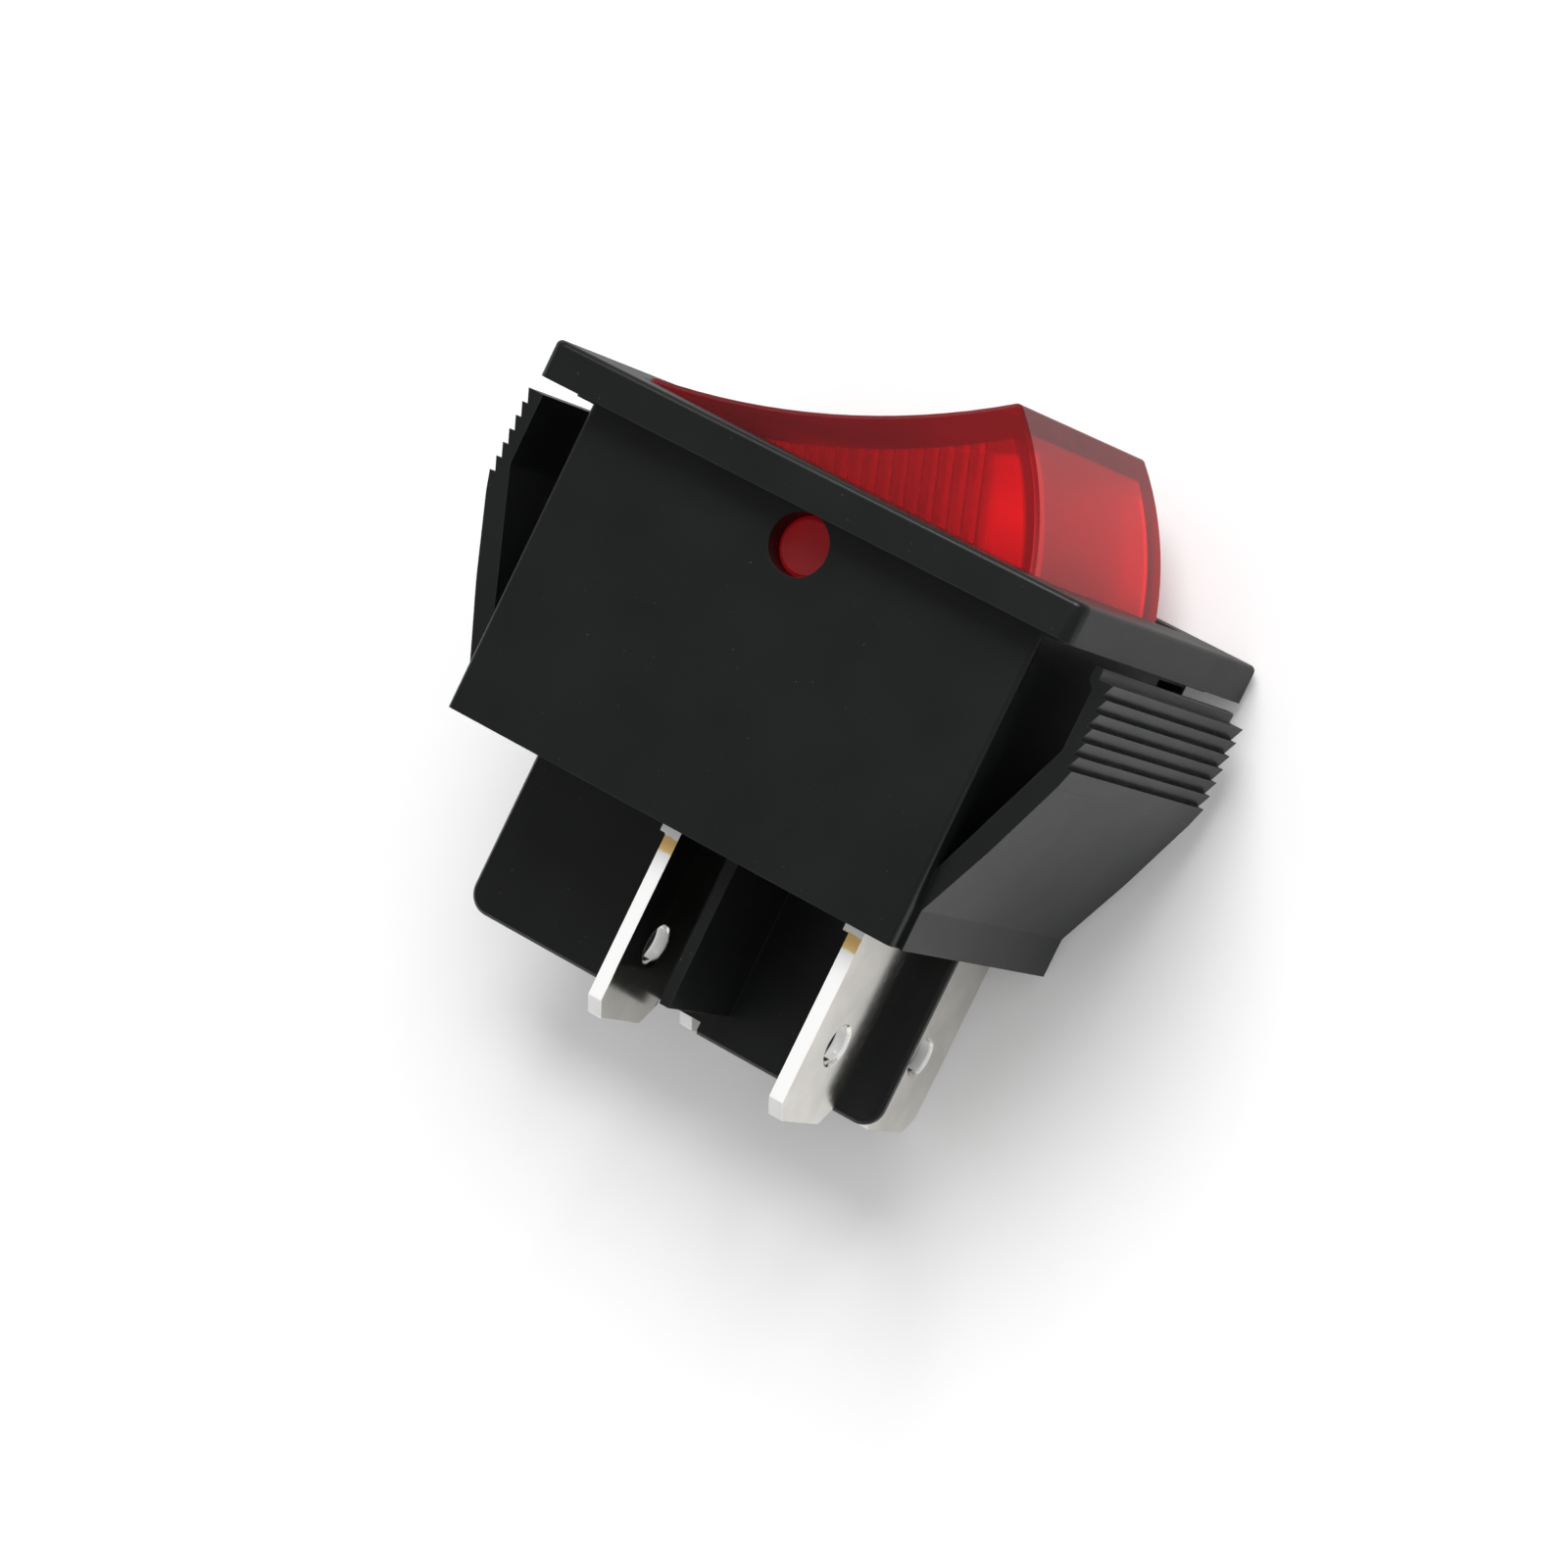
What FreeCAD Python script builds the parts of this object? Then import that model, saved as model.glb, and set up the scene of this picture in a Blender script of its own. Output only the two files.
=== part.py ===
import FreeCAD, Part
import math
import os

# Panel rocker switch, double pole, with a lighted rocker. Millimetres.
# Origin: centre of the panel cut-out, in the plane of the bezel's underside. X along the long side, Z up.
# It is drawn switched on: the rocker's -X end is pressed, its +X end stands up.

V = FreeCAD.Vector

# Bezel
bezel_length = 31.0
bezel_width = 25.5
bezel_thickness = 2.0
bezel_corner = 0.7
bezel_edge = 0.3
opening_edge = 0.15

# Body and the low collar that locates it in the cut-out
body_length = 26.5
body_width = 21.2
body_depth = 16.6
body_corner = 0.4
end_wall = 1.25
side_wall = 1.5
collar_length = 28.5
collar_height = 0.2
window_width = 3.8
window_height = 0.55
window_drop = 0.45
window_inset = 0.5

# Snap arms, one on each end
arm_reach = 16.3
arm_width = 19.2
arm_knee = 4.7
arm_lean = 0.396
arm_root = 0.57
barb_depth = 0.33
barb_count = 7
barb_pitch = 0.74
barb_first = 0.95
barb_run_out = 1.04
arm_bow = 0.1
arm_bow_radius = 20.0
foot_out = 0.25
foot_height = 2.1
lip_thickness = 0.45
lip_shift = 0.35
lip_gap = 0.45

# Pivot
pivot_depth = 1.7
pivot_radius = 1.55
pivot_clearance = 0.05
pivot_length = 0.65
pivot_chamfer = 0.2
half_swing = 20.5

# Rocker, in its own frame with the pivot at its origin
rocker_end_gap = 0.55
rocker_side_gap = 0.2
dish_radius = 40.2
dish_height = 6.6
rocker_end_radius = 16.1
rocker_belly = 0.5
rocker_skirt = 1.5
rocker_edge = 0.35
rocker_side_edge = 0.2
rocker_top_wall = 1.5
rocker_end_wall = 1.1
rocker_side_wall = 1.3
pivot_ear = 0.85
rib_pitch = 0.78
rib_depth = 0.28
rib_margin = 2.0

# Plungers and their springs
plunger_radius = 1.3
plunger_top = 1.5
plunger_clearance = 0.05
spigot_radius = 0.6
spigot_length = 0.7
guide_wall = 0.55
guide_bottom = 4.6
guide_cap = 0.5
spring_wire = 0.35
spring_clearance = 0.22
spring_turns = 6
wire_sides = 6
spring_steps = 12
nose_flats = 2

# Blades
blade_width = 6.3
blade_thickness = 0.8
blade_margin = 0.5
blade_length = 10.2
blade_chamfer = 0.9
blade_hole = 1.0
blade_hole_rise = 4.15
blade_hole_sink = 0.15
lug_height = 0.8
lug_out = 0.35
lug_width = 1.6
common_x = -0.2
load_inset = 1.35
head_width = 5.4
head_rise = 0.3

# Contact arms, in their own frame with the fulcrum at its origin
strip_thickness = 0.6
strip_width = 4.6
strip_bend = 0.6
strip_seat = 0.2
groove_clearance = 0.06
arm_half_swing = 6.0
saddle_gap = 0.15
wing_angle = 24.0
wing_gap = 0.1
wing_length = 3.4
crest_length = 3.9
step_length = 1.35
tail_margin = 0.3

# Contacts
contact_inset = 1.95
contact_radius = 1.3
contact_height = 0.7
contact_gap = 0.03
shank_radius = 0.75
close_height = 0.25
fixed_height = 0.55
tongue_bend = 0.65
tongue_margin = 0.1
tongue_rise = 1.37

# Base
base_thickness = 2.0
base_recess = 0.2
base_ledge = 0.4
base_clearance = 0.05
slot_clearance = 0.05
divider_thickness = 1.0
divider_rise = 6.2
divider_inset = 0.5
barrier_inset = 0.6
barrier_depth = 9.7
barrier_corner = 1.2
barrier_thickness = 0.7
barrier_edge = 0.2
notch_center = 0.5
notch_width = 2.8
notch_depth = 0.65
cross_center = 2.85
cross_thickness = 0.6
cross_inset = 1.5
cross_depth = 8.15

# Lamp in the rocker
lamp_radius = 1.9
lamp_wall = 0.35
lamp_length = 8.4
lamp_x = 1.4
lamp_seat_gap = 0.1
electrode_radius = 0.3
electrode_length = 4.6
electrode_spacing = 1.3
lead_radius = 0.2
resistor_radius = 0.95
resistor_waist = 0.8
resistor_length = 3.6
resistor_gap = 0.9

# Values that follow from the sizes above
cavity_x = body_length / 2 - end_wall
cavity_y = body_width / 2 - side_wall
rocker_reach = cavity_x - rocker_end_gap
rocker_half_width = cavity_y - rocker_side_gap
pivot = V(0, 0, -pivot_depth)
base_top = -body_depth + base_recess + base_thickness
base_bottom = base_top - base_thickness
blade_inner_edge = cavity_y - blade_margin - blade_width
blade_y = blade_inner_edge + blade_width / 2
blade_tip = -body_depth - blade_length
head_y = blade_inner_edge + head_width / 2
contact_line = head_y
cross_width = 2 * (cavity_y - cross_inset)
load_x = cavity_x - load_inset
contact_x = load_x - contact_inset
tongue_level = base_top + tongue_rise + blade_thickness / 2
fixed_top = tongue_level + blade_thickness / 2 + fixed_height
contact_level = fixed_top + contact_gap
fulcrum_z = contact_level + contact_height - strip_seat
saddle_top = fulcrum_z + strip_seat + strip_thickness
plunger_reach = -pivot_depth - saddle_top - saddle_gap
plunger_length = plunger_reach - plunger_top
fulcrum = V(common_x, 0, fulcrum_z)
strip_level = strip_seat + strip_thickness / 2
guide_bore = plunger_radius + plunger_clearance
ceiling = dish_height - rocker_top_wall


def at_xz(x, z):
    return V(x, 0, z)


def at_xy(x, y):
    return V(x, y, 0)


def at_yz(y, z):
    return V(0, y, z)


def outline(corners, put):
    """Face bounded by straight runs; each corner is (a, b, rounding)."""
    points = [put(a, b) for a, b, r in corners]
    stops = []
    for i, corner in enumerate(points):
        radius = corners[i][2]
        if radius <= 0:
            stops.append((corner, None, corner))
            continue
        back = (points[i - 1] - corner).normalize()
        ahead = (points[(i + 1) % len(points)] - corner).normalize()
        half = back.getAngle(ahead) / 2
        run = radius / math.tan(half)
        middle = corner + (back + ahead).normalize() * (radius / math.sin(half) - radius)
        stops.append((corner + back * run, middle, corner + ahead * run))
    edges = []
    for i, (start, middle, end) in enumerate(stops):
        if middle is not None:
            edges.append(Part.Arc(start, middle, end).toShape())
        following = stops[(i + 1) % len(stops)][0]
        if end.distanceToPoint(following) > 1e-6:
            edges.append(Part.makeLine(end, following))
    return Part.Face(Part.Wire(edges))


def rectangle(length, width, level, corner=0):
    """Level face centred on the origin, with rounded corners."""
    x = length / 2
    y = width / 2
    face = outline([(-x, -y, corner), (x, -y, corner), (x, y, corner), (-x, y, corner)], at_xy)
    face.translate(V(0, 0, level))
    return face


def plate(length, width, bottom, height, corner=0):
    """Upright block centred on the origin, with rounded upright edges."""
    return rectangle(length, width, bottom, corner).extrude(V(0, 0, height))


def across(face, center, width):
    """Extrudes an X-Z face along Y, centred on the given Y."""
    face.translate(V(0, center - width / 2, 0))
    return face.extrude(V(0, width, 0))


def block(x0, x1, y0, y1, z0, z1):
    return Part.makeBox(x1 - x0, y1 - y0, z1 - z0, V(x0, y0, z0))


def rod(radius, start, end):
    return Part.makeCylinder(radius, start.distanceToPoint(end), start, end - start)


def strip(path, thickness, bend):
    """Corners of a folded strip that follows a centre line."""
    half = thickness / 2
    left = []
    right = []
    for i, (x, z) in enumerate(path):
        before = path[i - 1] if i else None
        after = path[i + 1] if i + 1 < len(path) else None
        runs = []
        if before:
            runs.append((x - before[0], z - before[1]))
        if after:
            runs.append((after[0] - x, after[1] - z))
        normals = [(-b / math.hypot(a, b), a / math.hypot(a, b)) for a, b in runs]
        if len(normals) == 1:
            nx, nz = normals[0]
            inner = outer = 0
        else:
            (ax, az), (bx, bz) = normals
            share = 1 + ax * bx + az * bz
            nx = (ax + bx) / share
            nz = (az + bz) / share
            turn = ax * bz - az * bx
            inner = bend + half if turn < 0 else bend - half
            outer = bend - half if turn < 0 else bend + half
        left.append((x + nx * half, z + nz * half, inner))
        right.append((x - nx * half, z - nz * half, outer))
    return left + right[::-1]


def mirrored(shape, normal):
    return shape.mirror(V(0, 0, 0), normal)


def rocker_pose(shape):
    """Tilts what is drawn in the rocker's own frame to its switched-on place."""
    shape.translate(pivot)
    shape.rotate(pivot, V(0, 1, 0), -half_swing)
    return shape


def strip_pose(shape):
    """Tilts what is drawn in a contact arm's own frame to the closed position."""
    shape.translate(fulcrum)
    shape.rotate(fulcrum, V(0, 1, 0), arm_half_swing)
    return shape


def snap_arm(lip):
    """Barbed spring arm on the +X end; the barbs are ledges that face up."""
    body_x = body_length / 2
    root = arm_reach + arm_root
    tip = root + barb_depth
    valley = -arm_knee - (arm_reach - body_x) / arm_lean
    last = -barb_first - (barb_count - 1) * barb_pitch
    foot_x = body_x + foot_out
    foot_z = -body_depth + foot_height
    shoulder = last - barb_run_out
    bow_x = (foot_x + root) / 2 + arm_bow
    bow_z = (foot_z + shoulder) / 2
    corners = [
        (arm_reach, -arm_knee, 1.0),
        (body_x, valley, 0),
        (body_x - end_wall / 2, valley, 0),
        (body_x - end_wall / 2, -body_depth, 0),
        (foot_x, -body_depth, 0),
        (foot_x, foot_z, 0.4),
        (bow_x, bow_z, arm_bow_radius),
        (root, shoulder, 0.5),
    ]
    for i in reversed(range(barb_count)):
        z = -barb_first - i * barb_pitch
        corners.append((tip, z, 0))
        if i:
            corners.append((root, z, 0))
    if lip:
        inner = arm_reach - lip_shift
        outer = inner + lip_thickness
        corners.append((outer, -barb_first, 0))
        corners.append((outer, -lip_gap, 0.1))
        corners.append((inner, -lip_gap, 0.1))
        corners.append((inner, -barb_first - lip_thickness / 2, 0))
        corners.append((arm_reach, -barb_first - lip_thickness / 2 - lip_shift, 0))
    else:
        corners.append((arm_reach, -barb_first, 0))
    return across(outline(corners, at_xz), 0, arm_width)


def housing():
    """Bezel, collar, open body and the two snap arms, one moulding."""
    bezel = plate(bezel_length, bezel_width, 0, bezel_thickness, bezel_corner)
    rim = [e for e in bezel.Edges if e.BoundBox.ZMin > bezel_thickness - 1e-6]
    bezel = bezel.makeFillet(bezel_edge, rim)
    collar = plate(collar_length, body_width, -collar_height, collar_height, body_corner)
    body = plate(body_length, body_width, -body_depth, body_depth, body_corner)
    left = mirrored(snap_arm(False), V(1, 0, 0))
    shell = bezel.fuse([collar, body, snap_arm(True), left]).removeSplitter()
    cavity = plate(2 * cavity_x, 2 * cavity_y, -body_depth, body_depth + bezel_thickness)
    throat = rectangle(2 * cavity_x, 2 * cavity_y, bezel_thickness - opening_edge)
    mouth_x = 2 * (cavity_x + opening_edge)
    mouth_y = 2 * (cavity_y + opening_edge)
    mouth = rectangle(mouth_x, mouth_y, bezel_thickness)
    chamfer = Part.makeLoft([throat.OuterWire, mouth.OuterWire], True)
    pocket_x = 2 * (cavity_x + base_ledge)
    pocket_y = 2 * (cavity_y + base_ledge)
    pocket = plate(pocket_x, pocket_y, -body_depth, base_top + body_depth, body_corner)
    bore = pivot_radius + pivot_clearance
    holes = rod(bore, V(0, -body_width, -pivot_depth), V(0, body_width, -pivot_depth))
    out = body_width / 2 - window_inset
    top = -window_drop
    window = block(cavity_x, body_length / 2 + foot_out, out - window_width, out, top - window_height, top)
    opposite = mirrored(mirrored(window, V(1, 0, 0)), V(0, 1, 0))
    return shell.cut([cavity, chamfer, pocket, holes, window, opposite]).removeSplitter()


def rocker_face(top_radius, end_radius, bottom):
    """Side view of the rocker: dished top and bowed ends, cut level below."""
    top_z = dish_height + dish_radius
    end_x = rocker_reach - rocker_end_radius
    gap = math.hypot(end_x, rocker_belly - top_z)
    along = (top_radius ** 2 - end_radius ** 2 + gap ** 2) / (2 * gap)
    aside = math.sqrt(top_radius ** 2 - along ** 2)
    ux = end_x / gap
    uz = (rocker_belly - top_z) / gap
    corner = V(along * ux - aside * uz, 0, top_z + along * uz + aside * ux)
    foot = V(end_x + math.sqrt(end_radius ** 2 - (bottom - rocker_belly) ** 2), 0, bottom)
    belly = V(end_x + end_radius, 0, rocker_belly)
    far_foot, far_belly, far_corner = (V(-p.x, 0, p.z) for p in (foot, belly, corner))
    edges = [
        Part.makeLine(far_foot, foot),
        Part.Arc(foot, belly, corner).toShape(),
        Part.Arc(corner, V(0, 0, top_z - top_radius), far_corner).toShape(),
        Part.Arc(far_corner, far_belly, far_foot).toShape(),
    ]
    return Part.Face(Part.Wire(edges))


def ribbed_plan():
    """Plan of the rocker's hollow: fine upright ribs stand on its two long walls."""
    x = rocker_reach
    y = rocker_half_width - rocker_side_wall
    run = rocker_reach - rocker_end_wall - rib_margin
    count = int(2 * run / rib_pitch)
    start = -count * rib_pitch / 2
    side = [(-x, -y, 0)]
    for i in range(count):
        left = start + i * rib_pitch
        side.append((left + rib_pitch * 0.25, -y, 0))
        side.append((left + rib_pitch * 0.5, -y + rib_depth, 0))
        side.append((left + rib_pitch * 0.75, -y, 0))
    side.append((x, -y, 0))
    far = [(-a, -b, r) for a, b, r in side]
    return outline(side + far, at_xy)


def rocker():
    """Translucent rocker: dished shell, ribbed inside, two pivot stubs and two plunger guides."""
    shell = across(rocker_face(dish_radius, rocker_end_radius, -rocker_skirt), 0, 2 * rocker_half_width)
    ridges = []
    for edge in shell.Edges:
        box = edge.BoundBox
        if box.YLength > 2 * rocker_half_width - 1e-6 and box.ZMin > dish_height and box.ZLength < 1e-6:
            ridges.append(edge)
    shell = shell.makeFillet(rocker_edge, ridges)
    sides = []
    for edge in shell.Edges:
        box = edge.BoundBox
        on_side = box.YLength < 1e-6 and abs(abs(box.Center.y) - rocker_half_width) < 1e-6
        if on_side and box.ZMax > rocker_belly:
            sides.append(edge)
    shell = shell.makeChamfer(rocker_side_edge, sides)
    inner_top = dish_radius + rocker_top_wall
    inner_end = rocker_end_radius - rocker_end_wall
    hollow = across(rocker_face(inner_top, inner_end, -rocker_skirt), 0, 2 * rocker_half_width)
    plan = ribbed_plan()
    plan.translate(V(0, 0, -rocker_skirt))
    hollow = hollow.common(plan.extrude(V(0, 0, dish_height + rocker_skirt + rocker_reach)))
    shell = shell.cut(hollow)
    inner = rocker_half_width - rocker_side_wall
    added = []
    drilled = []
    for side in (-1, 1):
        ear = rod(pivot_radius + pivot_ear, V(0, side * inner, 0), V(0, side * rocker_half_width, 0))
        stub = rod(pivot_radius, V(0, side * inner, 0), V(0, side * (rocker_half_width + pivot_length), 0))
        end = [e for e in stub.Edges if abs(e.BoundBox.Center.y) > rocker_half_width and e.Closed]
        added.append(ear)
        added.append(stub.makeChamfer(pivot_chamfer, end))
        y = side * contact_line
        roof = ceiling + rocker_top_wall / 2
        added.append(rod(guide_bore + guide_wall, V(0, y, -guide_bottom), V(0, y, roof)))
        drilled.append(rod(guide_bore, V(0, y, -guide_bottom), V(0, y, ceiling - guide_cap)))
        notch = 2.5 * lead_radius
        notch_top = ceiling - guide_cap
        drilled.append(block(-notch, notch, min(y, 0), max(y, 0), notch_top - 4 * notch, notch_top))
    return rocker_pose(shell.fuse(added).cut(drilled).removeSplitter())


def revolved(points, center):
    """Solid turned about the upright line through the given point; points are (radius, height)."""
    corners = [center + V(r, 0, h) for r, h in points]
    face = Part.Face(Part.makePolygon(corners + corners[:1]))
    return face.revolve(center, V(0, 0, 1), 360)


def round_nose(radius, start, end):
    """Solid of revolution about Z from start to end, the far end rounded over in a few flats."""
    way = math.copysign(radius, end - start)
    points = [(0, start), (radius, start)]
    for i in range(nose_flats + 1):
        angle = math.radians(90 / nose_flats * i)
        points.append((radius * math.cos(angle), end - way * (1 - math.sin(angle))))
    return revolved(points, V(0, 0, 0))


def wire_section(center, way, radius):
    """Closed outline of a fine wire's cross-section, square to the given way."""
    flat = way.cross(V(0, 1, 0)) if abs(way.y) < 0.9 * way.Length else way.cross(V(1, 0, 0))
    first = flat.normalize() * radius
    turned = []
    for i in range(wire_sides + 1):
        spin = FreeCAD.Rotation(way, 360 / wire_sides * i)
        turned.append(center + spin.multVec(first))
    return Part.makePolygon(turned)


def plunger(side):
    """Brass pin with a round nose and a spigot for its spring."""
    y = side * contact_line
    top = plunger_length - plunger_reach
    body = round_nose(plunger_radius, top, -plunger_reach)
    body.translate(V(0, y, 0))
    spigot = rod(spigot_radius, V(0, y, top), V(0, y, top + spigot_length))
    return rocker_pose(body.fuse(spigot))


def plunger_spring(side):
    """Compression spring between the plunger and the closed end of its guide."""
    radius = guide_bore - spring_clearance - spring_wire / 2
    low = plunger_length - plunger_reach + spring_wire / 2
    height = ceiling - guide_cap - spring_wire / 2 - 2 * lead_radius - low
    count = spring_turns * spring_steps
    points = []
    for i in range(count + 1):
        angle = 2 * math.pi * i / spring_steps
        points.append(V(radius * math.cos(angle), radius * math.sin(angle), height * i / count))
    section = wire_section(points[0], V(0, 1, 0), spring_wire / 2)
    coil = Part.makePolygon(points).makePipeShell([section], True, False, 1)
    coil.translate(V(0, side * contact_line, low))
    return rocker_pose(coil)


def thickened(face, x):
    """Sheet of blade metal centred on the given X, from its face drawn in the Y-Z plane."""
    face.translate(V(x - blade_thickness / 2, 0, 0))
    return face.extrude(V(blade_thickness, 0, 0))


def blade(x, side):
    """Flat connector blade below the base, with its tip chamfered and its hole dimpled."""
    inner = side * blade_inner_edge
    outer = side * (blade_inner_edge + blade_width)
    half = blade_thickness / 2
    c = blade_chamfer
    face = outline([
        (inner, blade_tip + c, 0), (inner + side * c, blade_tip, 0), (outer - side * c, blade_tip, 0),
        (outer, blade_tip + c, 0), (outer, base_top + head_rise, 0), (inner, base_top + head_rise, 0),
    ], at_yz)
    shape = thickened(face, x)
    y = side * blade_y
    z = blade_tip + blade_hole_rise
    hole = [rod(blade_hole, V(x - half, y, z), V(x + half, y, z))]
    rim = blade_hole + blade_hole_sink
    for way in (-1, 1):
        mouth = V(x - way * half, y, z)
        hole.append(Part.makeCone(rim, blade_hole, blade_hole_sink, mouth, V(way, 0, 0)))
    low = base_bottom - lug_height
    inward = outer - side * lug_width
    lug = block(x - half - lug_out, x, min(inward, outer), max(inward, outer), low, base_bottom)
    return shape.cut(hole).fuse(lug).removeSplitter()


def common_terminal(side):
    """Blade that rises through the base to a rounded edge, the fulcrum of a contact arm."""
    inner = side * blade_inner_edge
    outer = side * (blade_inner_edge + head_width)
    low = base_top
    face = outline([(inner, low, 0), (outer, low, 0), (outer, fulcrum_z, 0), (inner, fulcrum_z, 0)], at_yz)
    edge = rod(blade_thickness / 2, V(common_x, inner, fulcrum_z), V(common_x, outer, fulcrum_z))
    return blade(common_x, side).fuse([thickened(face, common_x), edge]).removeSplitter()


def load_terminal(side):
    """Blade folded over inside the body into a tongue that carries the fixed contact."""
    level = tongue_level
    tongue_end = contact_x - contact_radius - tongue_margin
    path = [(load_x, base_top), (load_x, level), (tongue_end, level)]
    fold = across(outline(strip(path, blade_thickness, tongue_bend), at_xz), side * head_y, head_width)
    y = side * contact_line
    low = level - blade_thickness
    hole = rod(shank_radius, V(contact_x, y, low), V(contact_x, y, level + blade_thickness))
    return blade(load_x, side).fuse(fold).cut(hole).removeSplitter()


def rivet(face, seat, back, side):
    """Contact rivet: a flat head from face to seat and a shank that stands out beyond the strip's back."""
    end = back + math.copysign(close_height, back - seat)
    points = [
        (0, face), (contact_radius, face), (contact_radius, seat),
        (shank_radius, seat), (shank_radius, end), (0, end),
    ]
    return revolved(points, V(contact_x, side * contact_line, 0))


def fixed_contact(side):
    """Contact riveted through the load terminal's tongue."""
    return rivet(fixed_top, tongue_level + blade_thickness / 2, tongue_level - blade_thickness / 2, side)


def closed_point(x, level):
    """A point given as it lies when the contact is closed, turned back into the arm's frame."""
    turn = math.radians(arm_half_swing)
    return (x * math.cos(turn) - level * math.sin(turn), x * math.sin(turn) + level * math.cos(turn))


def wing_start(direction):
    """Where a wing leaves the saddle so that it lies along the plunger's nose at the end of the swing."""
    swing = math.radians(half_swing)
    nose = plunger_reach - plunger_radius
    x = direction * nose * math.sin(swing) - common_x
    z = -pivot_depth - nose * math.cos(swing) - fulcrum_z
    turn = math.radians(arm_half_swing) * direction
    ax = x * math.cos(turn) - z * math.sin(turn)
    az = x * math.sin(turn) + z * math.cos(turn)
    angle = math.radians(wing_angle)
    reach = plunger_radius + wing_gap + strip_thickness / 2
    px = ax + direction * reach * math.sin(angle)
    pz = az - reach * math.cos(angle)
    return px - direction * (pz - strip_level) / math.tan(angle)


def contact_arm(side):
    """Brass seesaw: a grooved saddle, two wings for the plunger and a long tail for the contact."""
    rise = math.tan(math.radians(wing_angle))
    left = wing_start(-1)
    right = wing_start(1)
    tail_end = contact_x - common_x + contact_radius + tail_margin
    path = [
        (-wing_length, strip_level + (left + wing_length) * rise),
        (left, strip_level),
        (right, strip_level),
        (crest_length, strip_level + (crest_length - right) * rise),
        closed_point(crest_length + step_length, strip_level),
        closed_point(tail_end, strip_level),
    ]
    y = side * contact_line
    shape = across(outline(strip(path, strip_thickness, strip_bend), at_xz), y, strip_width)
    groove = rod(blade_thickness / 2 + groove_clearance, V(0, y - strip_width, 0), V(0, y + strip_width, 0))
    shape = strip_pose(shape.cut(groove))
    x = contact_x
    hole = rod(shank_radius, V(x, y, fulcrum_z), V(x, y, fulcrum_z + 2 * strip_seat + 2 * strip_thickness))
    return shape.cut(hole)


def arm_contact(side):
    """Contact riveted through the arm's tail."""
    seat = fulcrum_z + strip_seat
    return rivet(contact_level, seat, seat + strip_thickness, side)


def base():
    """Closes the body from below: plate, divider between the poles, barrier and cross wall."""
    length = 2 * (cavity_x + base_ledge - base_clearance)
    width = 2 * (cavity_y + base_ledge - base_clearance)
    floor = plate(length, width, base_bottom, base_thickness, body_corner - base_clearance)
    divider_x = cavity_x - divider_inset
    divider = across(outline([
        (-divider_x, base_top, 0), (divider_x, base_top, 0),
        (divider_x, base_top + divider_rise, 0.8), (-divider_x, base_top + divider_rise, 0.8),
    ], at_xz), 0, divider_thickness)
    x = body_length / 2 - barrier_inset
    top = -body_depth - base_clearance
    low = -body_depth - barrier_depth
    notch_low = notch_center - notch_width / 2
    notch_high = notch_center + notch_width / 2
    step = length / 2
    barrier = across(outline([
        (-x, top, 0), (-x, low, barrier_corner), (notch_low, low, 0), (notch_low, low + notch_depth, 0),
        (notch_high, low + notch_depth, 0), (notch_high, low, 0), (x, low, barrier_corner), (x, top, 0),
        (step, top, 0), (step, base_bottom, 0), (-step, base_bottom, 0), (-step, top, 0),
    ], at_xz), 0, barrier_thickness)
    ends = []
    for edge in barrier.Edges:
        box = edge.BoundBox
        if box.YLength < 1e-6 and box.XLength < 1e-6 and abs(abs(box.Center.x) - x) < 1e-6:
            ends.append(edge)
    barrier = barrier.makeChamfer(barrier_edge, ends)
    half = cross_thickness / 2
    cross_low = -body_depth - cross_depth
    cross = block(
        cross_center - half, cross_center + half, -cross_width / 2, cross_width / 2, cross_low, base_bottom)
    shape = floor.fuse([divider, barrier, cross]).removeSplitter()
    slots = []
    for x in (common_x, load_x):
        for side in (-1, 1):
            wide = blade_width / 2 + slot_clearance
            thin = blade_thickness / 2 + slot_clearance
            y = side * blade_y
            slots.append(block(x - thin, x + thin, y - wide, y + wide, base_bottom, base_top))
    return shape.cut(slots)


def lamp_axis():
    """Height of the lamp's axis in the rocker's frame, just under the ceiling."""
    return ceiling - lamp_seat_gap - lamp_radius


def capsule(radius, start, end, z):
    """Round rod along X whose +X end is rounded over."""
    body = round_nose(radius, start, end)
    body.rotate(V(0, 0, 0), V(0, 1, 0), 90)
    body.translate(V(0, 0, z))
    return body


def neon_lamp():
    """Glass capsule with a round nose towards +X and a flat pinch at the other end."""
    z = lamp_axis()
    start = lamp_x - lamp_length / 2
    end = lamp_x + lamp_length / 2
    outer = capsule(lamp_radius, start, end, z)
    inner = rod(lamp_radius - lamp_wall, V(start + 3 * lamp_wall, 0, z), V(end - lamp_radius, 0, z))
    return rocker_pose(outer.cut(inner))


def lamp_electrodes():
    """Two rods side by side, standing on the pinch."""
    z = lamp_axis()
    start = lamp_x - lamp_length / 2 + 3 * lamp_wall
    rods = []
    for side in (-1, 1):
        y = side * electrode_spacing / 2
        foot = V(start, y, z)
        way = V(electrode_length, 0, 0)
        rods.append(Part.Face(wire_section(foot, way, electrode_radius)).extrude(way))
    return rocker_pose(Part.makeCompound(rods))


def lead(points):
    """Fine wire along straight runs with mitred corners."""
    section = wire_section(points[0], points[1] - points[0], lead_radius)
    return Part.makePolygon(points).makePipeShell([section], True, False, 1)


def lead_height():
    """Height at which the leads cross into the plunger guides."""
    return ceiling - guide_cap - 1.5 * lead_radius


def resistor_end():
    """Where the resistor ends, short of the lamp's pinch."""
    return lamp_x - lamp_length / 2 - resistor_gap


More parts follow.
